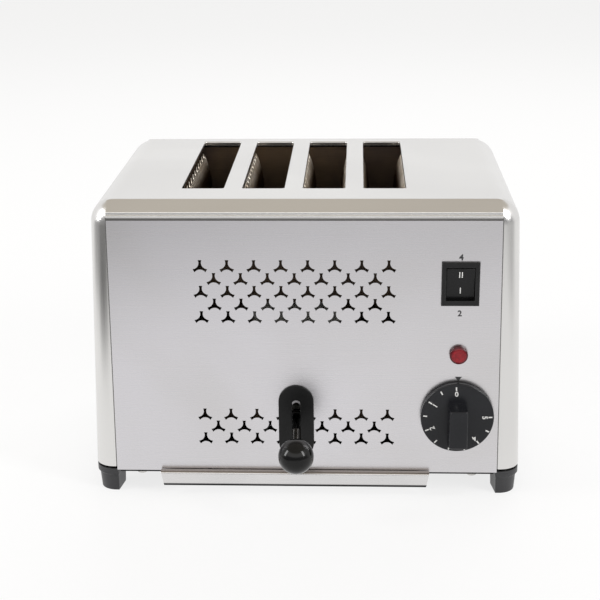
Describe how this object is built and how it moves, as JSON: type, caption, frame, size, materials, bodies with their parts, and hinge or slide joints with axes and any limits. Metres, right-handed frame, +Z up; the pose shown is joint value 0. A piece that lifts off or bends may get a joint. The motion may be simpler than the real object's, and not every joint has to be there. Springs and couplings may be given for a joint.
{
  "type": "commercial toaster",
  "caption": "Four-slot pop-up toaster in stainless steel with a lever on the front, a dial timer, a rocker switch, a lamp, corner feet and a pull-out crumb tray.",
  "frame": {"origin": "on the ground, in the middle of the whole object's box in X and Y", "axes": "+X to the object's right as seen from the front, +Y from the front to the back, +Z up"},
  "size_m": [0.3066, 0.2831, 0.2173],
  "materials": {
    "stainless_wrap": "satin stainless steel",
    "stainless_panel": "satin stainless steel",
    "stainless_tray": "satin stainless steel",
    "black_enamel": "black enamel on steel",
    "zinc_plated_steel": "zinc-plated sheet",
    "heat_stained_steel": "steel sheet darkened by heat",
    "screw_steel": "bright steel",
    "polished_rod": "ground steel rod",
    "spring_steel": "spring wire",
    "guard_wire": "plated steel wire",
    "black_oxide_steel": "black oxide on steel",
    "gloss_black_plastic": "polished moulded plastic",
    "black_plastic": "moulded plastic, fine texture",
    "knob_plastic": "moulded plastic, satin",
    "rocker_plastic": "moulded plastic, satin",
    "red_lens": "red transparent plastic",
    "white_plastic": "heat-proof plastic",
    "bush_plastic": "slide plastic",
    "coil_copper": "varnished copper winding",
    "brass_blade": "tinned brass",
    "mica": "mica board",
    "heating_alloy": "oxidised resistance ribbon",
    "ceramic": "glazed ceramic",
    "lead_sleeve": "heat-proof woven sleeve"
  },
  "bodies": {
    "chassis": {"body_shell": "stainless_wrap", "front_panel": "stainless_panel", "rear_panel": "stainless_panel", "base_pan": "black_enamel", "tray_runner_left": "zinc_plated_steel", "tray_runner_right": "zinc_plated_steel", "foot_front_left": "black_plastic", "foot_front_right": "black_plastic", "foot_rear_left": "black_plastic", "foot_rear_right": "black_plastic", "foot_fasteners": "screw_steel", "case_screws": "screw_steel", "front_baffle": "heat_stained_steel", "rear_baffle": "heat_stained_steel", "left_heat_shield": "heat_stained_steel", "right_heat_shield": "heat_stained_steel", "guide_base_bracket": "zinc_plated_steel", "guide_top_bracket": "zinc_plated_steel", "guide_rod_left": "polished_rod", "guide_rod_right": "polished_rod", "return_spring_left": "spring_steel", "return_spring_right": "spring_steel", "lever_escutcheon": "black_plastic", "electromagnet": "coil_copper", "switch_housing": "black_plastic", "switch_terminals": "brass_blade", "lamp_lens": "red_lens", "lamp_body": "white_plastic", "timer_body": "zinc_plated_steel", "terminal_block": "ceramic", "cord_gland": "black_plastic", "internal_leads": "lead_sleeve", "wire_guards_1": "guard_wire", "wire_guards_2": "guard_wire", "wire_guards_3": "guard_wire", "wire_guards_4": "guard_wire", "mica_board_1": "mica", "heating_ribbon_1": "heating_alloy", "mica_board_2": "mica", "heating_ribbon_2": "heating_alloy", "mica_board_3": "mica", "heating_ribbon_3": "heating_alloy", "mica_board_4": "mica", "heating_ribbon_4": "heating_alloy", "mica_board_5": "mica", "heating_ribbon_5": "heating_alloy"},
    "carriage": {"carriage_front_plate": "zinc_plated_steel", "carriage_rear_plate": "zinc_plated_steel", "slide_bushes": "bush_plastic", "armature": "zinc_plated_steel", "lever_rod": "black_oxide_steel", "lever_ball": "gloss_black_plastic", "bread_rest_1": "heat_stained_steel", "bread_rest_2": "heat_stained_steel", "bread_rest_3": "heat_stained_steel", "bread_rest_4": "heat_stained_steel"},
    "timer_dial": {"timer_knob": "knob_plastic", "timer_shaft": "polished_rod"},
    "rocker": {"switch_rocker": "rocker_plastic"},
    "tray": {"crumb_tray": "stainless_tray"}
  },
  "joints": [
    {"name": "carriage_slide", "type": "slide", "parent": "chassis", "child": "carriage", "axis": [0, 0, 1], "range_m": [-0.017, 0], "stiffness_N_per_m": 250, "springref_m": 0.02, "deforming": ["return_spring_left", "return_spring_right"]},
    {"name": "crumb_tray_slide", "type": "slide", "parent": "chassis", "child": "tray", "axis": [0, -1, 0], "range_m": [0, 0.185]},
    {"name": "timer_turn", "type": "hinge", "parent": "chassis", "child": "timer_dial", "pos_m": [0.1071, -0.07945, 0.062], "axis": [0, 1, 0], "range_deg": [0, 268]},
    {"name": "switch_rock", "type": "hinge", "parent": "chassis", "child": "rocker", "pos_m": [0.1071, -0.07595, 0.1596], "axis": [1, 0, 0], "range_deg": [-21, 0]}
  ]
}
